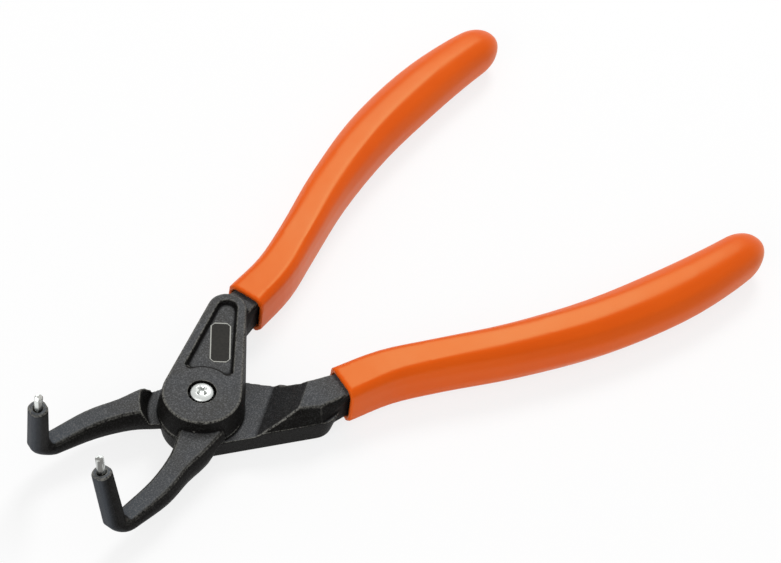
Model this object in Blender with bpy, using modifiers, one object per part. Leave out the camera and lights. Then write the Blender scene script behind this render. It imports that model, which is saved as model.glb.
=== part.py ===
"""Circlip pliers for internal rings, with tips bent square to the handles.

Two identical forged levers are flipped face to face and cross at a lap joint, so that squeezing
the handles closes the tips.  Each lever has a raised teardrop plate over the joint, a jaw that
bends into a tip arm, and a tang under a dipped grip.  Metres, +Z up.  The origin is where the
joint's axis meets the flat underside; +X runs towards the handles, midway between them.
"""

import bpy
import bmesh
from math import acos, asin, cos, pi, radians, sin
from mathutils import Matrix, Vector

MM = 0.001

# Joint
PLATE_HEIGHT = 6.0 * MM            # lap plane to the plate's flat top
LAP_GAP = 0.3 * MM                 # running gap between the two machined lap faces
FIT_GAP = 0.3 * MM                 # gap between pieces that are fixed in each other
RUN_GAP = 0.08 * MM                # between the screw's shank and the bores it turns in
RELIEF = 0.6 * MM                  # the rough web stands back from the lap plane by this
EYE_RADIUS = 8.2 * MM              # plate's round end at the joint, at the top
TIP_RADIUS = 4.1 * MM              # plate's small end
TIP_DISTANCE = 23.6 * MM           # joint axis to the small end's centre
TIP_RUNOUT = 0.8 * MM              # the small end's wall runs out by this towards the grip,
TIP_DRAFT = 0.55 * MM              # widens by this
TIP_TURN = radians(0.8)            # and leans outwards by this, all down to the lap plane
PLATE_ANGLE = radians(36.9)        # plate's direction from +X at rest
PLATE_DRAFT = 1.0 * MM             # the plate's wall widens by this down to the lap plane
PLATE_EDGE = 0.5 * MM              # rounding of the plate's top edge
PAD_INSET = 0.3 * MM               # the machined round lap face stops inside the wall's foot
PAD_RADIUS = EYE_RADIUS + PLATE_DRAFT - PAD_INSET
POCKET_RIM = 2.0 * MM              # rim left beside the pocket at the eye
POCKET_TIP = 2.3 * MM              # radius of the pocket's narrow end
POCKET_LAND = 1.4 * MM             # the pocket comes this far inside the eye's radius,
POCKET_ARC = EYE_RADIUS - POCKET_LAND   # where it ends on an arc about the joint
POCKET_CORNER = 0.8 * MM
POCKET_DEPTH = 1.2 * MM
POCKET_DRAFT = 0.5 * MM

# Pivot screw and its nut
HEAD_RADIUS = 2.5 * MM
SEAT_GAP = 0.45 * MM               # between a head and the wall of its counterbore
SEAT_DEPTH = 1.5 * MM
HEAD_DOME = 0.9 * MM
SHANK_RADIUS = 2.1 * MM
THREAD_RADIUS = 1.3 * MM
NUT_LENGTH = 4.4 * MM
RECESS_SPAN = 1.75 * MM            # half span of the cross recess
RECESS_WIDTH = 0.5 * MM            # half width of its wings
RECESS_DEPTH = 1.3 * MM
RECESS_FLOOR = (0.35, 0.6)         # the recess narrows to these shares of its span and width
RECESS_OVER = 1.1                  # and its mouth is cut this much wider than its span
NUT_CHAMFER = 0.3 * MM

# Neck, from the plate to the grip
NECK_HEIGHT = 4.4 * MM             # half thickness
SIDE_BULGE = 0.8 * MM              # forging's sides stand out by this at mid height
SIDE_FLAT = 0.5 * MM               # half height of the narrow band at mid height
SIDE_BELLY = 0.1 * MM
RAMP_ANGLE = radians(57.0)         # direction in which the ramp climbs
STEP_CLEARANCE = 2.3 * MM          # lap face to the foot of the step behind the jaw
STEP_RADIUS = PAD_RADIUS + STEP_CLEARANCE
STEP_RUN = 1.6 * MM                # the step leans back by this up to the jaw's face
RAMP_CLEARANCE = 3.7 * MM          # lap face to the ramp's foot
RAMP_START = PAD_RADIUS + RAMP_CLEARANCE
RAMP_RUN = 7.4 * MM

# Handle stations: x, y, half width, half thickness and half of the flat on top of the grip
HANDLE = [
    (25.1 * MM, 15.35 * MM, 4.65 * MM, 5.1 * MM, 3.4 * MM),
    (36.0 * MM, 17.9 * MM, 4.5 * MM, 5.4 * MM, 3.1 * MM),
    (47.3 * MM, 22.8 * MM, 4.5 * MM, 5.6 * MM, 2.8 * MM),
    (63.0 * MM, 30.1 * MM, 5.05 * MM, 5.85 * MM, 2.7 * MM),
    (81.9 * MM, 36.85 * MM, 6.05 * MM, 5.95 * MM, 2.5 * MM),
    (101.5 * MM, 41.15 * MM, 6.4 * MM, 5.95 * MM, 2.3 * MM),
    (118.0 * MM, 43.0 * MM, 5.6 * MM, 5.7 * MM, 2.0 * MM),
    (130.3 * MM, 43.1 * MM, 4.5 * MM, 4.9 * MM, 1.6 * MM),
]
HANDLE_STEPS = 4                   # rings from one station to the next
GRIP_END = 8.0 * MM                # length of the grip's rounded end
GRIP_END_TURN = radians(84.0)      # the rounding stops here and leaves a small flat
GRIP_END_STEPS = 7
GRIP_SKIN = 1.0 * MM               # thickness of the dipped skin
TANG_SHORT = 5.0 * MM              # the tang stops this far inside the grip's end
GRIP_CORNER = 0.7 * MM
GRIP_BELLY = 0.5 * MM              # the section's shoulders stand out by this
GRIP_SIDE = 1.9 * MM               # half height of the grip's flat side
TANG_CORNER = 0.8 * MM

# Neck rails: inner and outer edge of its flat, from inside the plate to the grip's mouth, then
# how far the inner and the outer side stand out at mid height
NECK = [
    ((10.2 * MM, 3.7 * MM), (3.8 * MM, 10.3 * MM), 2.4 * MM, 1.5 * MM),
    ((15.6 * MM, 6.6 * MM), (9.5 * MM, 13.3 * MM), 1.3 * MM, 1.4 * MM),
    ((18.6 * MM, 10.0 * MM), (13.9 * MM, 15.0 * MM), 1.1 * MM, 1.9 * MM),
    ((21.0 * MM, 11.1 * MM), (17.6 * MM, 17.4 * MM), 0.8 * MM, 1.5 * MM),
]
NECK_CORNER = 0.45 * MM

# Jaw rails: inner and outer edge of its flat, half its thickness and how far its middle rises
JAW = [
    ((-4.8 * MM, -0.8 * MM), (-1.6 * MM, -8.8 * MM), 3.2 * MM, 0.0),
    ((-9.0 * MM, -3.6 * MM), (-8.1 * MM, -10.3 * MM), 3.2 * MM, 0.0),
    ((-13.4 * MM, -6.6 * MM), (-13.0 * MM, -11.1 * MM), 3.1 * MM, 0.0),
    ((-20.5 * MM, -9.15 * MM), (-20.0 * MM, -13.0 * MM), 2.7 * MM, 0.1 * MM),
    ((-29.6 * MM, -10.6 * MM), (-29.1 * MM, -13.75 * MM), 1.95 * MM, 0.35 * MM),
]
JAW_STEPS = 4
BEND_RADIUS = 3.3 * MM             # centre line of the bend
BEND_STEPS = 6
BEND_THIN = 0.7 * MM               # the bend is thinner by this on its outer side
ARM_HEIGHT = 17.8 * MM             # lap plane to the arm's end face
ARM_OUT = 0.09                     # the arm leans away from the joint, run per rise
ARM_IN = 0.155                     # and in towards the other arm
ARM_FOOT = (1.95 * MM, 2.05 * MM)  # half width and half depth above the bend
ARM_END = (1.95 * MM, 1.9 * MM)
ARM_FLAT = 0.55                    # share of the half width that is still flat at the end
ARM_STEPS = 3
ARM_EDGE = 0.35 * MM               # broken edge of the arm's end
ARM_CORNER = 0.9 * MM              # the arm is nearly round at its end
JAW_CORNER = 0.55 * MM

# Tip pins
PIN_RADIUS = 0.85 * MM
PIN_FREE = 4.0 * MM                # length that stands out of the arm
PIN_HELD = 3.2 * MM                # length inside the arm
PIN_CHAMFER = 0.15 * MM
PIN_OUT = 0.02
PIN_IN = 0.13
PIN_GAP = 0.12 * MM                # around the pin in its hole

ROUND_STEPS = 48
SMALL_STEPS = 24
ARC_STEPS = 16
CORNER_STEPS = 1
EDGE_STEPS = 3
DOME_STEPS = 6
CUT_OVER = 1.0 * MM                # cutters run past the faces that they open by this
SMOOTH_ANGLE = radians(32.0)

parts = None
cutters = None


def clear_scene():
    """Remove what the file holds and make the two collections."""
    global parts, cutters
    for item in list(bpy.data.objects):
        bpy.data.objects.remove(item, do_unlink=True)
    parts = bpy.data.collections.new("circlip_pliers")
    cutters = bpy.data.collections.new("cutters")
    for collection in (parts, cutters):
        bpy.context.scene.collection.children.link(collection)


def material(name, colour, roughness, metallic):
    """A Principled material."""
    made = bpy.data.materials.new(name)
    made.use_nodes = True
    shader = made.node_tree.nodes["Principled BSDF"]
    shader.inputs["Base Color"].default_value = (*colour, 1.0)
    shader.inputs["Roughness"].default_value = roughness
    shader.inputs["Metallic"].default_value = metallic
    return made


def place(name, mesh, collection):
    """Make an object of a mesh, in one of the two collections."""
    made = bpy.data.objects.new(name, mesh)
    collection.objects.link(made)
    if collection is cutters:
        made.hide_render = True
        made.display_type = "WIRE"
    return made


def shade(mesh):
    """Smooth shading with the real edges kept sharp."""
    mesh.shade_smooth()
    mesh.set_sharp_from_angle(angle=SMOOTH_ANGLE)


def loft(name, rings, collection):
    """A closed skin over rings that all have the same number of points."""
    bm = bmesh.new()
    rows = [[bm.verts.new(point) for point in ring] for ring in rings]
    count = len(rows[0])
    for lower, upper in zip(rows, rows[1:]):
        for i in range(count):
            j = (i + 1) % count
            bm.faces.new((lower[i], lower[j], upper[j], upper[i]))
    bm.faces.new(list(reversed(rows[0])))
    bm.faces.new(rows[-1])
    bmesh.ops.recalc_face_normals(bm, faces=bm.faces)
    mesh = bpy.data.meshes.new(name)
    bm.to_mesh(mesh)
    bm.free()
    shade(mesh)
    return place(name, mesh, collection)


def turned(name, profile, steps, collection):
    """Turn a profile of radius and height, listed from the top down the outer side."""
    mesh = bpy.data.meshes.new(name)
    points = [(radius, 0.0, height) for radius, height in profile]
    mesh.from_pydata(points, [(i, i + 1) for i in range(len(points) - 1)], [])
    made = place(name, mesh, collection)
    screw = made.modifiers.new("Screw", "SCREW")
    screw.axis = "Z"
    screw.steps = steps
    screw.render_steps = steps
    screw.use_merge_vertices = True
    screw.merge_threshold = 1e-6
    screw.use_smooth_shade = True
    return made


def cylinder(name, radius, low, high, steps, collection, top_radius=None):
    """A round cutter or pad about Z, from one height to another."""
    bm = bmesh.new()
    upper = radius if top_radius is None else top_radius
    middle = Matrix.Translation((0.0, 0.0, (low + high) / 2))
    bmesh.ops.create_cone(bm, cap_ends=True, segments=steps, radius1=radius, radius2=upper,
                          depth=high - low, matrix=middle)
    mesh = bpy.data.meshes.new(name)
    bm.to_mesh(mesh)
    bm.free()
    return place(name, mesh, collection)


def combine(target, tool, operation):
    """Join a tool to the target, or cut it away, with the tool following the target."""
    tool.parent = target
    boolean = target.modifiers.new(tool.name, "BOOLEAN")
    boolean.operation = operation
    boolean.object = tool
    boolean.solver = "EXACT"


def rounded(corners, radius, steps=CORNER_STEPS):
    """Round each corner of a convex outline with an arc of the given radius."""
    outline = []
    count = len(corners)
    for i, corner in enumerate(corners):
        here = Vector(corner)
        back = (Vector(corners[i - 1]) - here).normalized()
        ahead = (Vector(corners[(i + 1) % count]) - here).normalized()
        half = acos(max(-1.0, min(1.0, back.dot(ahead)))) / 2
        reach = radius / max(sin(half), 1e-6) * cos(half)
        first = here + back * reach
        last = here + ahead * reach
        centre = here + (back + ahead).normalized() * radius / sin(half)
        for step in range(steps + 1):
            spoke = (first - centre).lerp(last - centre, step / steps)
            outline.append(centre + spoke.normalized() * radius)
    return outline


def bar_outline(half_width, half_flat, half_height, corner, belly=SIDE_BELLY, side=SIDE_FLAT,
                back_width=None):
    """Section of a bar: flats on top and below, full shoulders, and sides widest at mid height."""
    halves = []
    for width in (half_width, back_width or half_width):
        shoulder = ((half_flat + width) / 2 + belly, (half_height + side) / 2 + belly)
        quarter = [(half_flat, half_height), shoulder, (width, side)]
        halves.append(quarter + [(x, -z) for x, z in reversed(quarter)])
    right, back = halves
    left = [(-x, z) for x, z in reversed(back)]
    return rounded(right + left, corner)


def section(centre, side, up, outline):
    """Lay a flat outline in space, along its side and up directions."""
    return [centre + side * point[0] + up * point[1] for point in outline]


def curve_through(stations, steps):
    """Smooth values through the stations, with equal steps from one to the next."""
    values = [Vector(station) for station in stations]
    result = []
    for i in range(len(values) - 1):
        before = values[i - 1] if i else values[0] * 2 - values[1]
        start, end = values[i], values[i + 1]
        after = values[i + 2] if i + 2 < len(values) else end * 2 - start
        for step in range(steps):
            t = step / steps
            result.append(0.5 * (2 * start + (end - before) * t
                                 + (2 * before - 5 * start + 4 * end - after) * t ** 2
                                 + (3 * start - before - 3 * end + after) * t ** 3))
    result.append(values[-1])
    return result


def handle_rings(inset, corner, short):
    """Sections of the handle, inside the grip's surface by inset and ending short of its end."""
    stations = curve_through([(x, y, 0.0) for x, y, *_ in HANDLE], HANDLE_STEPS)
    sizes = curve_through([(w, h, f) for _, _, w, h, f in HANDLE], HANDLE_STEPS)
    length = [0.0]
    for here, ahead in zip(stations, stations[1:]):
        length.append(length[-1] + (ahead - here).length)
    end = length[-1] - short
    rings = []
    up = Vector((0.0, 0.0, 1.0))
    for i, (centre, size) in enumerate(zip(stations, sizes)):
        if length[i] > end - GRIP_END:
            break
        tangent = stations[min(i + 1, len(stations) - 1)] - stations[max(i - 1, 0)]
        side = up.cross(tangent).normalized()
        outline = bar_outline(size[0] - inset, size[2] - inset / 2, size[1] - inset, corner,
                              GRIP_BELLY, GRIP_SIDE)
        rings.append(section(centre, side, up, outline))
    rest = end - length[i - 1]
    along = tangent.normalized()
    base = stations[i - 1]
    for step in range(1, GRIP_END_STEPS + 1):
        angle = step / GRIP_END_STEPS * GRIP_END_TURN
        factor = cos(angle)
        scaled = [point * factor for point in outline]
        rings.append(section(base + along * rest * sin(angle), side, up, scaled))
    return rings


def teardrop(eye, tip, reach=TIP_DISTANCE, heading=PLATE_ANGLE, steps=ARC_STEPS):
    """Outline of the plate: two round ends and their common tangents."""
    lean = asin((eye - tip) / reach)
    outline = []
    far = Vector((cos(heading), sin(heading))) * reach
    half_eye = pi / 2 + lean
    for step in range(2 * steps + 1):
        angle = heading + pi - half_eye + half_eye * step / steps
        outline.append(Vector((cos(angle), sin(angle))) * eye)
    half_tip = pi / 2 - lean
    for step in range(steps + 1):
        angle = heading - half_tip + 2 * half_tip * step / steps
        outline.append(far + Vector((cos(angle), sin(angle))) * tip)
    return outline


def at_height(outline, height):
    """Lift a plan outline to a height."""
    return [Vector((point[0], point[1], height)) for point in outline]


def plate(name, collection):
    """The raised plate, its wall drafted and its top edge rounded."""
    slope = PLATE_DRAFT / PLATE_HEIGHT
    foot = -LAP_GAP
    wider = slope * (PLATE_HEIGHT - foot)
    low = teardrop(EYE_RADIUS + wider, TIP_RADIUS + TIP_DRAFT, TIP_DISTANCE + TIP_RUNOUT,
                   PLATE_ANGLE + TIP_TURN)
    rings = [at_height(low, foot)]
    for step in range(EDGE_STEPS + 1):
        angle = step / EDGE_STEPS * pi / 2
        height = PLATE_HEIGHT - PLATE_EDGE * (1 - sin(angle))
        wider = slope * PLATE_EDGE - PLATE_EDGE * (1 - cos(angle))
        rings.append(at_height(teardrop(EYE_RADIUS + wider, TIP_RADIUS + wider), height))
    return loft(name, rings, collection)


def pocket_outline(inset):
    """Outline of the pocket: a narrower teardrop that ends on an arc about the joint."""
    eye = EYE_RADIUS - POCKET_RIM - inset
    tip = POCKET_TIP - inset
    arc = POCKET_ARC + inset
    lean = asin((eye - tip) / TIP_DISTANCE)
    swing = pi / 2 - lean - acos((eye - POCKET_CORNER) / (arc + POCKET_CORNER))
    far = Vector((cos(PLATE_ANGLE), sin(PLATE_ANGLE))) * TIP_DISTANCE
    outline = []
    half_tip = pi / 2 - lean
    for step in range(ARC_STEPS + 1):
        angle = PLATE_ANGLE - half_tip + 2 * half_tip * step / ARC_STEPS
        outline.append(far + Vector((cos(angle), sin(angle))) * tip)
    for side in (1, -1):
        spoke = Vector((cos(PLATE_ANGLE + side * swing), sin(PLATE_ANGLE + side * swing)))
        centre = spoke * (arc + POCKET_CORNER)
        flank = PLATE_ANGLE + side * half_tip
        inward = PLATE_ANGLE + side * (swing + pi)
        turns = [flank, inward] if side == 1 else [inward, flank]
        start, end = turns
        sweep = (end - start) % (2 * pi)
        for step in range(CORNER_STEPS + 1):
            angle = start + sweep * step / CORNER_STEPS
            outline.append(centre + Vector((cos(angle), sin(angle))) * POCKET_CORNER)
        if side == 1:
            for step in range(1, ARC_STEPS):
                angle = PLATE_ANGLE + swing - 2 * swing * step / ARC_STEPS
                outline.append(Vector((cos(angle), sin(angle))) * arc)
    return outline


def neck_and_tang(name, collection):
    """The bar from inside the plate to the end of the tang."""
    up = Vector((0.0, 0.0, 1.0))
    rings = []
    for *rail, inner_bulge, outer_bulge in NECK:
        inner, outer = (Vector((*point, 0.0)) for point in rail)
        half = (outer - inner).length / 2
        side = (outer - inner).normalized()
        outline = bar_outline(half + outer_bulge, half, NECK_HEIGHT, NECK_CORNER,
                              back_width=half + inner_bulge)
        rings.append(section((inner + outer) / 2, side, up, outline))
    rings += handle_rings(GRIP_SKIN + FIT_GAP, TANG_CORNER, TANG_SHORT)
    return loft(name, rings, collection)


def arm_line(tip_side):
    """Start of the bend, jaw direction, arm direction and side direction."""
    inner, outer, _, rise = JAW[-1]
    inner = Vector((*inner, tip_side * rise))
    outer = Vector((*outer, tip_side * rise))
    start = (inner + outer) / 2
    side = (outer - inner).normalized()
    along = Vector((side.y, -side.x, 0.0))
    arm = Vector((-ARM_OUT, ARM_IN, tip_side)).normalized()
    return start, along, arm, side


def jaw(name, tip_side, collection):
    """The jaw, the bend and the tip arm in one sweep; returns it with the end of the arm."""
    up = Vector((0.0, 0.0, tip_side))
    rings = []
    inners = curve_through([(*inner, tip_side * rise) for inner, _, _, rise in JAW], JAW_STEPS)
    outers = curve_through([(*outer, half) for _, outer, half, _ in JAW], JAW_STEPS)
    for inner, outer in zip(inners, outers):
        half_height = outer.z
        outer = Vector((outer.x, outer.y, inner.z))
        half = (outer - inner).length / 2
        side = (outer - inner).normalized()
        outline = bar_outline(half + SIDE_BULGE, half, half_height, JAW_CORNER)
        rings.append(section((inner + outer) / 2, side, up, outline))
    start, along, arm, side = arm_line(tip_side)
    turn = acos(along.dot(arm))
    axis = along.cross(arm).normalized()
    centre = start + axis.cross(along) * BEND_RADIUS
    last_half = half
    for step in range(1, BEND_STEPS + 1):
        share = step / BEND_STEPS
        spin = Matrix.Rotation(turn * share, 3, axis)
        tangent = spin @ along
        place_at = centre + spin @ (start - centre)
        lay = (side - tangent * side.dot(tangent)).normalized()
        rise = axis.cross(tangent)
        rise = (rise - lay * rise.dot(lay)).normalized()
        flat = last_half + (ARM_FOOT[0] - SIDE_BULGE - last_half) * share
        thin = BEND_THIN / 2 * sin(pi * share)
        deep = half_height + (ARM_FOOT[1] - half_height) * share - thin
        outline = bar_outline(flat + SIDE_BULGE, flat, deep, JAW_CORNER)
        rings.append(section(place_at + rise * thin, lay, rise, outline))
    length = (ARM_HEIGHT - abs(place_at.z)) / abs(arm.z)
    for step in range(1, ARM_STEPS + 1):
        share = step / ARM_STEPS
        wide = ARM_FOOT[0] + (ARM_END[0] - ARM_FOOT[0]) * share
        deep = ARM_FOOT[1] + (ARM_END[1] - ARM_FOOT[1]) * share
        bulge = SIDE_BULGE + (wide - ARM_END[0] * ARM_FLAT - SIDE_BULGE) * share
        corner = JAW_CORNER + (ARM_CORNER - JAW_CORNER) * share
        outline = bar_outline(wide, wide - bulge, deep, corner)
        rings.append(section(place_at + arm * (length - ARM_EDGE) * share, lay, rise, outline))
    end = place_at + arm * length
    rim = [point * (1 - ARM_EDGE / wide) for point in outline]
    rings.append(section(end, lay, rise, rim))
    return loft(name, rings, collection), end


def pin_direction(tip_side):
    """Direction of the tip pin."""
    return Vector((-PIN_OUT, PIN_IN, tip_side)).normalized()


def standing(base, direction):
    """Placing for a piece made about Z: on a point, along a direction."""
    return Matrix.Translation(base) @ direction.to_track_quat("Z", "Y").to_matrix().to_4x4()


def ramp_cutter(name, collection):
    """Space under the web: flat to the ramp's foot, then down the ramp."""
    fall = NECK_HEIGHT + RELIEF
    low = RELIEF - 2 * fall
    wide = TIP_DISTANCE + RAMP_RUN * 2
    slope = [(0.0, RELIEF), (RAMP_START, RELIEF), (RAMP_START + RAMP_RUN * 2, low),
             (RAMP_START + RAMP_RUN * 2, low - NECK_HEIGHT), (0.0, low - NECK_HEIGHT)]
    direction = Vector((cos(RAMP_ANGLE), sin(RAMP_ANGLE), 0.0))
    across = Vector((-sin(RAMP_ANGLE), cos(RAMP_ANGLE), 0.0))
    up = Vector((0.0, 0.0, 1.0))
    rings = [section(across * offset, direction, up, slope) for offset in (-wide, wide)]
    return loft(name, rings, collection)


def lever(name, tip_side, finish):
    """One forged lever, plate side up, with its tip arm on the given side."""
    body = plate(name, parts)
    neck = neck_and_tang(name + "_bar", cutters)
    arm, arm_end = jaw(name + "_jaw", tip_side, cutters)
    combine(body, neck, "UNION")
    combine(body, arm, "UNION")

    step_low = -2 * JAW[0][2]
    spread = STEP_RUN / (JAW[0][2] + RELIEF)
    foot = STEP_RADIUS + spread * (RELIEF - step_low)
    step = cylinder(name + "_step", foot, step_low, RELIEF, ROUND_STEPS, cutters,
                    top_radius=STEP_RADIUS)
    combine(body, step, "DIFFERENCE")
    combine(body, ramp_cutter(name + "_ramp", cutters), "DIFFERENCE")

    pad = cylinder(name + "_pad", PAD_RADIUS, LAP_GAP / 2, RELIEF * 2, ROUND_STEPS, cutters)
    combine(body, pad, "UNION")

    floor = PLATE_HEIGHT - POCKET_DEPTH
    above = PLATE_HEIGHT + CUT_OVER
    flare = -POCKET_DRAFT * CUT_OVER / POCKET_DEPTH
    pocket = loft(name + "_pocket", [at_height(pocket_outline(POCKET_DRAFT), floor),
                                     at_height(pocket_outline(flare), above)], cutters)
    combine(body, pocket, "DIFFERENCE")

    seat = cylinder(name + "_seat", HEAD_RADIUS + SEAT_GAP, PLATE_HEIGHT - SEAT_DEPTH, above,
                    ROUND_STEPS, cutters)
    combine(body, seat, "DIFFERENCE")
    bore = cylinder(name + "_bore", SHANK_RADIUS + RUN_GAP, -CUT_OVER, above, ROUND_STEPS, cutters)
    combine(body, bore, "DIFFERENCE")

    deep = PIN_HELD + FIT_GAP
    hole = cylinder(name + "_pin_hole", PIN_RADIUS + PIN_GAP, -deep, CUT_OVER, SMALL_STEPS, cutters)
    hole.matrix_local = standing(arm_end, pin_direction(tip_side))
    combine(body, hole, "DIFFERENCE")
    body.data.materials.append(finish)
    return body, arm_end


def grip(name, finish):
    """The dipped grip: a skin with a round closed end over the tang."""
    outside = handle_rings(0.0, GRIP_CORNER, 0.0)
    inside = handle_rings(GRIP_SKIN, TANG_CORNER + FIT_GAP, TANG_SHORT - FIT_GAP)
    made = loft(name, list(reversed(inside)) + outside, parts)
    made.data.materials.append(finish)
    return made


def tip_pin(name, finish):
    """A plain round pin with broken edges."""
    top = PIN_FREE
    profile = [(0.0, top), (PIN_RADIUS - PIN_CHAMFER, top), (PIN_RADIUS, top - PIN_CHAMFER),
               (PIN_RADIUS, -PIN_HELD), (0.0, -PIN_HELD)]
    made = turned(name, profile, SMALL_STEPS, parts)
    made.data.materials.append(finish)
    return made


def recess_cutter(name):
    """Tapered cross that cuts the screw's drive recess."""
    def cross(span, wide, height):
        wing = [(span, -wide), (span, wide)]
        outline = []
        for quarter in range(4):
            turn = Matrix.Rotation(quarter * pi / 2, 2)
            outline += [turn @ Vector(point) for point in wing + [(wide, wide)]]
        return at_height(outline, height)
    top = PLATE_HEIGHT + HEAD_DOME
    low = top - RECESS_DEPTH
    inner, narrow = RECESS_FLOOR
    return loft(name, [cross(RECESS_SPAN * inner, RECESS_WIDTH * narrow, low),
                       cross(RECESS_SPAN * RECESS_OVER, RECESS_WIDTH, top)], cutters)


def pivot_screw(name, finish):
    """Domed head, plain shank through both levers and the thinner threaded end."""
    seat = PLATE_HEIGHT - SEAT_DEPTH + FIT_GAP
    rim = PLATE_HEIGHT - HEAD_DOME / 2
    shank_end = -PLATE_HEIGHT + NUT_LENGTH + FIT_GAP
    thread_end = -PLATE_HEIGHT + SEAT_DEPTH
    profile = []
    for step in range(DOME_STEPS + 1):
        angle = step / DOME_STEPS * pi / 2
        profile.append((HEAD_RADIUS * sin(angle), rim + HEAD_DOME * cos(angle)))
    profile += [(HEAD_RADIUS, seat), (SHANK_RADIUS, seat), (SHANK_RADIUS, shank_end),
                (THREAD_RADIUS, shank_end), (THREAD_RADIUS, thread_end), (0.0, thread_end)]
    made = turned(name, profile, ROUND_STEPS, parts)
    combine(made, recess_cutter(name + "_recess"), "DIFFERENCE")
    made.data.materials.append(finish)
    return made


def pivot_nut(name, finish):
    """Sleeve nut whose flat face is flush with the underside; its hole ends at the shoulder."""
    face = -PLATE_HEIGHT
    top = face + NUT_LENGTH
    shoulder = face + SEAT_DEPTH - FIT_GAP
    wall = THREAD_RADIUS + FIT_GAP
    profile = [(0.0, shoulder), (wall, shoulder), (wall, top), (SHANK_RADIUS, top),
               (SHANK_RADIUS, shoulder), (HEAD_RADIUS, shoulder), (HEAD_RADIUS, face + NUT_CHAMFER),
               (HEAD_RADIUS - NUT_CHAMFER, face), (0.0, face)]
    made = turned(name, profile, ROUND_STEPS, parts)
    made.data.materials.append(finish)
    return made


def build():
    """Make the eight pieces and stand them on the underside of the joint."""
    clear_scene()
    black = material("phosphated_steel", (0.055, 0.055, 0.06), 0.5, 0.6)
    orange = material("dipped_vinyl", (0.85, 0.2, 0.04), 0.35, 0.0)
    zinc = material("zinc_plate", (0.8, 0.82, 0.82), 0.25, 1.0)
    steel = material("bright_steel", (0.7, 0.71, 0.72), 0.25, 1.0)

    lift = Matrix.Translation((0.0, 0.0, PLATE_HEIGHT))
    flip = Matrix.Rotation(pi, 4, "X")
    for side, placing, tip_side in (("front", lift, 1.0), ("rear", lift @ flip, -1.0)):
        forged, arm_end = lever(side + "_lever", tip_side, black)
        forged.matrix_world = placing
        grip(side + "_grip", orange).matrix_world = placing
        pin = tip_pin(side + "_tip_pin", steel)
        pin.matrix_world = placing @ standing(arm_end, pin_direction(tip_side))
    pivot_screw("pivot_screw", zinc).matrix_world = lift
    pivot_nut("pivot_nut", zinc).matrix_world = lift
    bpy.context.view_layer.update()


build()
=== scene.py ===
"""Looks of the circlip pliers: forged black levers, dipped orange grips and bright small parts."""

from math import pi, radians, tan

import bpy
import bmesh
from mathutils import Matrix, Vector

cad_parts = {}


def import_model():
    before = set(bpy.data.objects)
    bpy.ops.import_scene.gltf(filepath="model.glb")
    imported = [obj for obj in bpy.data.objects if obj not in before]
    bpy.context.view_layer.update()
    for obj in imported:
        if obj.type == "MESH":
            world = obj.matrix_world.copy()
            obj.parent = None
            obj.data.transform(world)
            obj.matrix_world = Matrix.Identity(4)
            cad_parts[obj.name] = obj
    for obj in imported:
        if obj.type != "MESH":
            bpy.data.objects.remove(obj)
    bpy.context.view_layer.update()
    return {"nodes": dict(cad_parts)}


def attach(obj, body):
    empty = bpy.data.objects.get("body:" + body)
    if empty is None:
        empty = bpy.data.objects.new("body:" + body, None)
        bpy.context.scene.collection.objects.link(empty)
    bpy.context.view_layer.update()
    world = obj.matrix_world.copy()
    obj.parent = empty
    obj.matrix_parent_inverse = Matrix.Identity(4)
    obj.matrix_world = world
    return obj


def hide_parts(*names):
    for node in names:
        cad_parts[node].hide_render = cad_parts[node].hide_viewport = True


MM = 0.001

# Camera at the photo's viewpoint
CAMERA_PLACE = Vector((-189.5, -208.7, 365.0)) * MM
CAMERA_FORWARD = Vector((0.5076, 0.4349, -0.7437))
CAMERA_RIGHT = Vector((0.7245, -0.6826, 0.0954))
CAMERA_LENS = 100.6
CAMERA_SENSOR = 36.0
CAMERA_NEAR = 0.01
CAMERA_FAR = 10.0

# Rounded edges: a solid is remeshed finely and then smoothed so that its edges turn round
LEVER_VOXEL = 0.2 * MM
LEVER_SMOOTHING = 3
GRIP_VOXEL = 0.35 * MM
GRIP_SMOOTHING = 3
SCREW_VOXEL = 0.085 * MM
SCREW_SMOOTHING = 3
SMOOTHING_STEP = 0.5               # how far each round of smoothing goes
GRIP_SOFTENING = 60                # the grips' ridges melt away by further smoothing,
GRIP_CRISP = 40.0 * MM             # which starts here along X
GRIP_SOFT = 110.0 * MM             # and is full from here on

# Light
SKY = 0.45                         # what the surroundings add
LIGHT_AIM = Vector((0.04, 0.0, 0.0))
KEY_PLACE = Vector((0.68, 0.42, 0.95))
KEY_SIZE = 0.42
KEY_POWER = 8.0
FILL_PLACE = Vector((-0.85, -0.25, 0.55))
FILL_SIZE = 0.8
FILL_POWER = 3.8

# Floor
FLOOR_SIZE = 6.0
FLOOR_DROP = 0.2 * MM              # keeps it clear of the faces that rest on it
FLOOR_TONE = 0.95
FLOOR_SHADE = 0.2                  # share of its own light and shadow in what is seen

# The bare plate in the pocket: an eight-sided foil with a bright border
LABEL_CENTRE = Vector((12.1, 8.35, 10.8)) * MM
LABEL_ANGLE = radians(48.5)
LABEL_LENGTH = 10.8 * MM
LABEL_WIDTH = 4.35 * MM
LABEL_CUT = 0.9 * MM               # what each corner loses
LABEL_BORDER = 0.2 * MM
LABEL_THICKNESS = 0.12 * MM
FIELD_INSET = 1.3                  # of the border's width
FIELD_HEIGHT = 0.7                 # of the foil's thickness
FIELD_TONES = (0.010, 0.0095, 0.008), (0.022, 0.020, 0.016)
BORDER_TONES = (0.40, 0.40, 0.37), (0.48, 0.48, 0.44)

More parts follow.
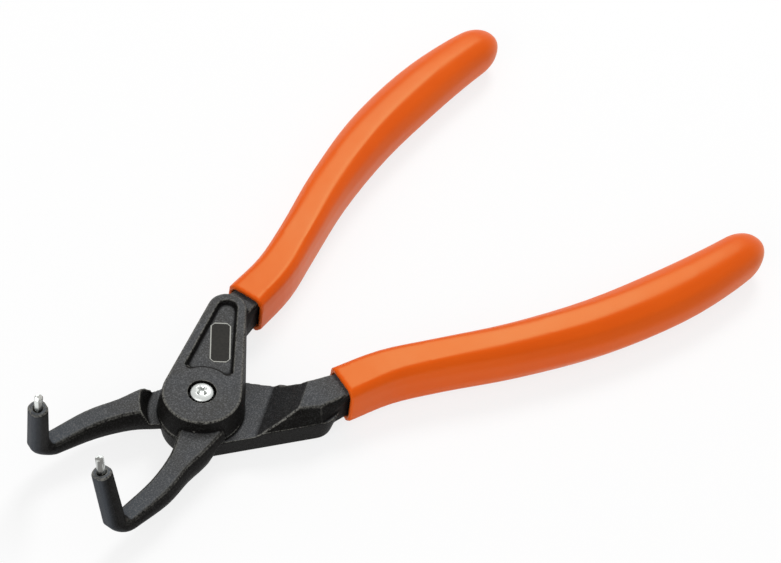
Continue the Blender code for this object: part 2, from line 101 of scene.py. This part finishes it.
# Colours of the black forgings
CORNER_SHADE = (0.004, 0.004, 0.004)        # painted shade, deep in the corners
SHADED_WALL = (0.005, 0.0045, 0.004)      # painted shade on steep faces
LIT_ARM_WALL = (0.045, 0.050, 0.058)   # the tip arms' outer sides, painted lighter as if lit
LIP_SHADOW = (0.012, 0.011, 0.010)        # painted shadow: the dark arc at the pocket's lower edge
# painted light: flats, the jaws' flats most, are far lighter than the shaded walls
LIT_FLAT_TONES = (0.063, 0.062, 0.059), (0.069, 0.072, 0.077)
LIT_JAW_FLAT = (0.080, 0.089, 0.100)
SPECK = (0.15, 0.152, 0.155)
WORN_AND_HIGHLIT_EDGE = (0.21, 0.205, 0.185)      # edges lighter from wear and a painted highlight

# Where those colours change, along X and outwards from the joint's axis
JAW_START, JAW_FULL = -14.0 * MM, -30.0 * MM
ARM_START, ARM_FULL = -24.0 * MM, -31.0 * MM
LIP_INNER, LIP_OUTER, LIP_FADE = 6.2 * MM, 7.4 * MM, 0.3 * MM

# Other colours
VINYL_TONES = (0.76, 0.085, 0.003), (0.79, 0.097, 0.004)
VINYL_GLOSS_TINT = (0.6, 1.0, 0.34, 1.0)
VINYL_SHEEN_TINT = (1.0, 0.40, 0.05, 1.0)
ZINC = (0.64, 0.66, 0.64)
# painted shade for the plated parts' corners and recesses
ZINC_CORNER_SHADE = (0.015, 0.015, 0.015)
ZINC_ROUGHNESS = 0.32
# the dark tone paints reflections of dark surroundings as streaks on the pins
PIN_REFLECTION_TONES = (0.20, 0.20, 0.19), (0.80, 0.83, 0.81)

OFF = (0.0, 0.0, 0.0)
ON = (1.0, 1.0, 1.0)


def grey(value):
    """A grey as a colour."""
    return (value, value, value)


def shade(colour, share):
    """A darker copy of a colour."""
    return tuple(part * share for part in colour)


def socket(shader, name, value):
    """Set a value on a shader's own socket."""
    shader.inputs[name].default_value = value


class Surface:
    """A node material built step by step around one Principled shader."""

    def __init__(self, name):
        self.material = bpy.data.materials.new(name)
        self.material.use_nodes = True
        self.tree = self.material.node_tree
        self.shader = self.tree.nodes["Principled BSDF"]
        self.coordinates = self.node("ShaderNodeTexCoord")
        self.place = self.coordinates.outputs["Object"]

    def node(self, kind, **settings):
        made = self.tree.nodes.new(kind)
        for name, value in settings.items():
            setattr(made, name, value)
        return made

    def link(self, output, target):
        self.tree.links.new(output, target)

    def feed(self, name, output):
        """Link an output to one of the shader's inputs."""
        self.link(output, self.shader.inputs[name])

    def noise(self, scale, detail=4.0, roughness=0.6, stretch=1.0):
        """Noise with about scale grains to the metre, drawn out along Z by stretch."""
        made = self.node("ShaderNodeTexNoise")
        along = self.node("ShaderNodeMapping")
        along.inputs["Scale"].default_value = (1.0, 1.0, 1.0 / stretch)
        self.link(self.place, along.inputs["Vector"])
        self.link(along.outputs["Vector"], made.inputs["Vector"])
        made.inputs["Scale"].default_value = scale
        made.inputs["Detail"].default_value = detail
        made.inputs["Roughness"].default_value = roughness
        return made.outputs["Fac"]

    def ramp(self, value, stops):
        """Colours along a value; stops are (position, colour)."""
        made = self.node("ShaderNodeValToRGB")
        self.link(value, made.inputs["Fac"])
        line = made.color_ramp
        while len(line.elements) < len(stops):
            line.elements.new(0.5)
        for element, (position, colour) in zip(line.elements, stops):
            element.position = position
            element.color = (*colour, 1.0)
        return made.outputs["Color"]

    def rise(self, value, low, high):
        """Black up to one value and white from a higher one."""
        return self.ramp(value, [(low, OFF), (high, ON)])

    def spread(self, patches, tones):
        """Two tones spread over a surface by a noise."""
        return self.ramp(patches, [(0.3, tones[0]), (0.7, tones[1])])

    def mix(self, factor, first, second, blend="MIX"):
        """Mix two colours, each a socket or a colour, by a factor that is a socket or a number."""
        made = self.node("ShaderNodeMix", data_type="RGBA", blend_type=blend)
        for target, value in ((made.inputs[0], factor), (made.inputs[6], first), (made.inputs[7], second)):
            if isinstance(value, bpy.types.NodeSocket):
                self.link(value, target)
            elif isinstance(value, tuple):
                target.default_value = (*value, 1.0)
            else:
                target.default_value = value
        return made.outputs[2]

    def both(self, first, second):
        """White only where two masks are white."""
        return self.mix(1.0, first, second, "MULTIPLY")

    def bump(self, height, distance, under=None):
        """Relief of a given depth, on top of another relief if one is given."""
        made = self.node("ShaderNodeBump")
        self.link(height, made.inputs["Height"])
        made.inputs["Distance"].default_value = distance
        if under is not None:
            self.link(under, made.inputs["Normal"])
        return made.outputs["Normal"]

    def part_of(self, source, axis):
        """One coordinate of the place or of the normal."""
        parts = self.node("ShaderNodeSeparateXYZ")
        self.link(self.coordinates.outputs[source], parts.inputs[0])
        return parts.outputs[axis]

    def between(self, value, low, high):
        """0 at one value and 1 at another, in either order."""
        made = self.node("ShaderNodeMapRange")
        self.link(value, made.inputs["Value"])
        made.inputs["From Min"].default_value = low
        made.inputs["From Max"].default_value = high
        return made.outputs["Result"]

    def facing(self):
        """1 on faces square to the joint's axis, on either side, and 0 on upright walls."""
        size = self.node("ShaderNodeMath", operation="ABSOLUTE")
        self.link(self.part_of("Normal", "Z"), size.inputs[0])
        return size.outputs[0]

    def ring(self, inner, outer, fade):
        """White between two distances from the joint's axis and black beyond them."""
        reach = 2 * outer          # a ramp ends at 1, so the ring's outer limit lies in its middle
        flat = self.node("ShaderNodeVectorMath", operation="MULTIPLY")
        self.link(self.place, flat.inputs[0])
        flat.inputs[1].default_value = (1.0 / reach, 1.0 / reach, 0.0)
        size = self.node("ShaderNodeVectorMath", operation="LENGTH")
        self.link(flat.outputs["Vector"], size.inputs[0])
        low, high, soft = inner / reach, outer / reach, fade / reach
        return self.ramp(size.outputs["Value"],
                         [(low - soft, OFF), (low, ON), (high, ON), (high + soft, OFF)])

    def edges(self, low, high):
        """Black to white by sharpness: corners lie below 0.5, flats at 0.5 and edges above it."""
        geometry = self.node("ShaderNodeNewGeometry")
        return self.rise(geometry.outputs["Pointiness"], low, high)


def black_steel():
    """Phosphated forging: fine blasted grain, with painted light and shade: flats lighter than walls, the
    arms' outer sides lighter, corners near black, a painted shadow at the pocket's arc, and edges lighter
    from wear and a painted highlight.
    """
    made = Surface("phosphated steel")
    grain = made.noise(3300.0, 3.0, 0.7)
    facing = made.facing()
    flat = made.rise(facing, 0.80, 0.97)
    jaw = made.between(made.part_of("Object", "X"), JAW_START, JAW_FULL)
    arm = made.between(made.part_of("Object", "X"), ARM_START, ARM_FULL)
    outer = made.between(made.part_of("Normal", "X"), -0.1, -0.8)

    patches = made.noise(90.0)
    # painted light: flats take far lighter tones than walls
    lit_top = made.ramp(patches, [(0.35, LIT_FLAT_TONES[0]), (0.65, LIT_FLAT_TONES[1])])
    lit_top = made.mix(jaw, lit_top, LIT_JAW_FLAT)
    # painted light: the arms' walls facing outwards are lighter than other walls
    wall = made.mix(outer, SHADED_WALL, made.mix(arm, SHADED_WALL, LIT_ARM_WALL))
    colour = made.mix(flat, wall, lit_top)

    speckled = made.both(made.rise(grain, 0.48, 0.66), made.mix(flat, grey(0.12), ON))
    colour = made.mix(speckled, colour, SPECK)

    # edges lighter from wear and a painted highlight
    slanted = made.ramp(facing, [(0.25, OFF), (0.45, ON), (0.95, ON), (0.995, OFF)])
    edge_wear_and_highlight = made.both(made.edges(0.503, 0.53), slanted)
    chips = made.rise(made.noise(2300.0, 3.0), 0.36, 0.60)
    colour = made.mix(made.both(edge_wear_and_highlight, chips), colour, WORN_AND_HIGHLIT_EDGE)

    # painted shadow along the pocket's arc edge
    lip_shadow = made.both(made.edges(0.502, 0.512), made.ring(LIP_INNER, LIP_OUTER, LIP_FADE))
    colour = made.mix(lip_shadow, colour, LIP_SHADOW)
    # painted shade: concave corners are near black
    clear_of_corner_shade = made.edges(0.46, 0.495)
    made.feed("Base Color", made.mix(clear_of_corner_shade, CORNER_SHADE, colour))

    rough = made.spread(grain, (grey(0.40), grey(0.55)))
    made.feed("Roughness", made.mix(clear_of_corner_shade, grey(0.95), rough))
    fine = made.bump(grain, 0.09 * MM)
    made.feed("Normal", made.bump(made.noise(700.0, 3.0), 0.06 * MM, under=fine))
    socket(made.shader, "Specular IOR Level", 0.036)
    return made.material


def orange_vinyl():
    """Dipped vinyl: smooth and softly glossy, a little uneven."""
    made = Surface("dipped vinyl")
    patches = made.noise(60.0, 3.0, 0.5)
    made.feed("Base Color", made.spread(patches, VINYL_TONES))
    made.feed("Roughness", made.spread(patches, (grey(0.33), grey(0.38))))
    soft = made.bump(made.noise(90.0, 2.0), 0.10 * MM)
    made.feed("Normal", made.bump(made.noise(1800.0, 2.0), 0.004 * MM, under=soft))
    socket(made.shader, "Specular IOR Level", 0.25)
    socket(made.shader, "Specular Tint", VINYL_GLOSS_TINT)
    socket(made.shader, "Sheen Weight", 0.3)
    socket(made.shader, "Sheen Roughness", 0.5)
    socket(made.shader, "Sheen Tint", VINYL_SHEEN_TINT)
    return made.material


def zinc_plate():
    """Plated steel with fine marks, smudges, slightly darker edges, and corners painted dark as shade."""
    made = Surface("zinc plate")
    smudge = made.noise(900.0)
    tone = made.spread(smudge, (shade(ZINC, 0.86), ZINC))
    # painted shade: corners and recesses are darkened
    tone = made.mix(made.edges(0.44, 0.49), ZINC_CORNER_SHADE, tone)
    made.feed("Base Color", made.mix(made.edges(0.515, 0.56), tone, shade(ZINC, 0.9)))
    made.feed("Roughness", made.spread(smudge, (grey(ZINC_ROUGHNESS * 1.3), grey(ZINC_ROUGHNESS * 0.8))))
    made.feed("Normal", made.bump(made.noise(3000.0, 2.0), 0.01 * MM))
    socket(made.shader, "Metallic", 1.0)
    return made.material


def ground_steel():
    """Ground pins: bright, with soft dark streaks along their length painted as reflections of dark
    surroundings.
    """
    made = Surface("bright steel")
    # dark streaks paint reflections of dark surroundings
    dark_reflections = made.noise(850.0, 2.0, 0.5, stretch=30.0)
    made.feed("Base Color", made.ramp(dark_reflections, [(0.42, PIN_REFLECTION_TONES[0]), (0.52, PIN_REFLECTION_TONES[1])]))
    made.feed("Normal", made.bump(made.noise(4000.0, 2.0, stretch=8.0), 0.01 * MM))
    socket(made.shader, "Roughness", 0.25)
    socket(made.shader, "Metallic", 1.0)
    return made.material


def printed(name, tones):
    """A plain printed surface with a little unevenness."""
    made = Surface(name)
    made.feed("Base Color", made.spread(made.noise(1500.0, 3.0), tones))
    socket(made.shader, "Roughness", 0.45)
    socket(made.shader, "Specular IOR Level", 0.08)
    return made.material


def placed(name, data):
    """A new object in the scene."""
    made = bpy.data.objects.new(name, data)
    bpy.context.scene.collection.objects.link(made)
    return made


def dress(obj, material):
    """Give a mesh one material."""
    obj.data.materials.clear()
    obj.data.materials.append(material)


def baked(made):
    """Apply an object's modifiers to its mesh and shade it smooth."""
    graph = bpy.context.evaluated_depsgraph_get()
    mesh = bpy.data.meshes.new_from_object(made.evaluated_get(graph))
    made.modifiers.clear()
    made.data = mesh
    mesh.shade_smooth()


def smoothed(made, rounds):
    """Add a smoothing modifier."""
    smooth = made.modifiers.new("Smooth", "SMOOTH")
    smooth.factor = SMOOTHING_STEP
    smooth.iterations = rounds
    return smooth


def refined(node, body, voxel, smoothing, material):
    """Stand-in for a CAD node: the same solid, finely remeshed, with every edge turned round."""
    made = placed(node + "_finish", frame["nodes"][node].data.copy())
    remesh = made.modifiers.new("Remesh", "REMESH")
    remesh.mode = "VOXEL"
    remesh.voxel_size = voxel
    smoothed(made, smoothing)
    baked(made)
    dress(made, material)
    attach(made, body)
    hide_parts(node)
    return made


def soften(made):
    """Smooth a grip more and more towards its end."""
    group = made.vertex_groups.new(name="soft")
    for vertex in made.data.vertices:
        weight = (vertex.co.x - GRIP_CRISP) / (GRIP_SOFT - GRIP_CRISP)
        group.add([vertex.index], max(0.0, min(1.0, weight)), "REPLACE")
    smoothed(made, GRIP_SOFTENING).vertex_group = group.name
    baked(made)


def octagon(length, width, cut, inset):
    """Rectangle with its four corners cut off, inset by a margin."""
    x, y = length / 2 - inset, width / 2 - inset
    trim = cut - inset * (2 - 2 * tan(pi / 8))
    return [(x, y - trim), (x - trim, y), (trim - x, y), (-x, y - trim),
            (-x, trim - y), (trim - x, -y), (x - trim, -y), (x, trim - y)]


def label(field, border):
    """Foil plate in the pocket: a dark field a little lower than its bright border."""
    bm = bmesh.new()
    levels = [(0.0, 0.0), (0.0, LABEL_THICKNESS), (LABEL_BORDER, LABEL_THICKNESS),
              (LABEL_BORDER * FIELD_INSET, LABEL_THICKNESS * FIELD_HEIGHT)]
    rings = []
    for inset, height in levels:
        outline = octagon(LABEL_LENGTH, LABEL_WIDTH, LABEL_CUT, inset)
        rings.append([bm.verts.new((x, y, height)) for x, y in outline])
    count = len(rings[0])
    for lower, upper in zip(rings, rings[1:]):
        for i in range(count):
            j = (i + 1) % count
            bm.faces.new((lower[i], lower[j], upper[j], upper[i]))
    bm.faces.new(list(reversed(rings[0])))
    bm.faces.new(rings[-1]).material_index = 1
    bmesh.ops.recalc_face_normals(bm, faces=bm.faces)
    mesh = bpy.data.meshes.new("label_plate")
    bm.to_mesh(mesh)
    bm.free()
    mesh.materials.append(border)
    mesh.materials.append(field)
    made = placed("label_plate", mesh)
    made.matrix_world = Matrix.Translation(LABEL_CENTRE) @ Matrix.Rotation(LABEL_ANGLE, 4, "Z")
    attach(made, "front_half")


def camera():
    """Camera where the photo was taken from."""
    data = bpy.data.cameras.new("camera")
    data.lens = CAMERA_LENS
    data.sensor_width = CAMERA_SENSOR
    data.clip_start = CAMERA_NEAR
    data.clip_end = CAMERA_FAR
    made = placed("camera", data)
    forward = CAMERA_FORWARD.normalized()
    right = (CAMERA_RIGHT - forward * CAMERA_RIGHT.dot(forward)).normalized()
    up = right.cross(forward)
    turn = Matrix((right, up, -forward)).transposed().to_4x4()
    made.matrix_world = Matrix.Translation(CAMERA_PLACE) @ turn
    bpy.context.scene.camera = made


def softbox(name, place, size, power):
    """A square area light aimed at the tool."""
    data = bpy.data.lights.new(name, "AREA")
    data.shape = "SQUARE"
    data.size = size
    data.energy = power
    made = placed(name, data)
    made.location = place
    made.rotation_mode = "QUATERNION"
    made.rotation_quaternion = (LIGHT_AIM - place).to_track_quat("-Z", "Y")


def seen_rays(tree):
    """1 for rays that the camera sees directly, by reflection or through something clear."""
    rays = tree.nodes.new("ShaderNodeLightPath")
    total = rays.outputs["Is Camera Ray"]
    for name in ("Is Glossy Ray", "Is Transmission Ray"):
        added = tree.nodes.new("ShaderNodeMath")
        added.operation = "MAXIMUM"
        tree.links.new(total, added.inputs[0])
        tree.links.new(rays.outputs[name], added.inputs[1])
        total = added.outputs[0]
    return total


def blend(tree, factor, first, second):
    """Mix two shaders by a socket or a number."""
    mix = tree.nodes.new("ShaderNodeMixShader")
    if isinstance(factor, bpy.types.NodeSocket):
        tree.links.new(factor, mix.inputs["Fac"])
    else:
        mix.inputs["Fac"].default_value = factor
    tree.links.new(first, mix.inputs[1])
    tree.links.new(second, mix.inputs[2])
    return mix.outputs["Shader"]


def white_light(tree):
    """Plain white at strength 1."""
    glow = tree.nodes.new("ShaderNodeEmission")
    glow.inputs["Strength"].default_value = 1.0
    return glow.outputs["Emission"]


def world():
    """Soft surroundings that look white where they are seen."""
    made = bpy.data.worlds.new("studio")
    bpy.context.scene.world = made
    made.use_nodes = True
    tree = made.node_tree
    sky = tree.nodes["Background"]
    socket(sky, "Color", (*ON, 1.0))
    socket(sky, "Strength", SKY)
    seen = blend(tree, seen_rays(tree), sky.outputs["Background"], white_light(tree))
    tree.links.new(seen, tree.nodes["World Output"].inputs["Surface"])


def floor():
    """Pale floor that the pliers lie on: white where it is seen, with the tool's shadow."""
    bpy.ops.mesh.primitive_plane_add(size=FLOOR_SIZE, location=(0.0, 0.0, -FLOOR_DROP))
    made = bpy.context.object
    made.name = "floor"
    surface = bpy.data.materials.new("floor")
    surface.use_nodes = True
    tree = surface.node_tree
    shader = tree.nodes["Principled BSDF"]
    socket(shader, "Base Color", (*grey(FLOOR_TONE), 1.0))
    socket(shader, "Roughness", 0.9)
    socket(shader, "Specular IOR Level", 0.1)
    lit = shader.outputs["BSDF"]
    seen = blend(tree, FLOOR_SHADE, white_light(tree), lit)
    output = tree.nodes["Material Output"]
    tree.links.new(blend(tree, seen_rays(tree), lit, seen), output.inputs["Surface"])
    dress(made, surface)


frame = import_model()

camera()
black = black_steel()
orange = orange_vinyl()
zinc = zinc_plate()
steel = ground_steel()

for side in ("front", "rear"):
    body = side + "_half"
    refined(side + "_lever", body, LEVER_VOXEL, LEVER_SMOOTHING, black)
    soften(refined(side + "_grip", body, GRIP_VOXEL, GRIP_SMOOTHING, orange))
    dress(frame["nodes"][side + "_tip_pin"], steel)
refined("pivot_screw", "rear_half", SCREW_VOXEL, SCREW_SMOOTHING, zinc)
dress(frame["nodes"]["pivot_nut"], zinc)
label(printed("label field", FIELD_TONES), printed("label border", BORDER_TONES))

softbox("key", KEY_PLACE, KEY_SIZE, KEY_POWER)
softbox("fill", FILL_PLACE, FILL_SIZE, FILL_POWER)
world()
floor()
bpy.context.scene.view_settings.view_transform = "Standard"

bpy.context.view_layer.update()
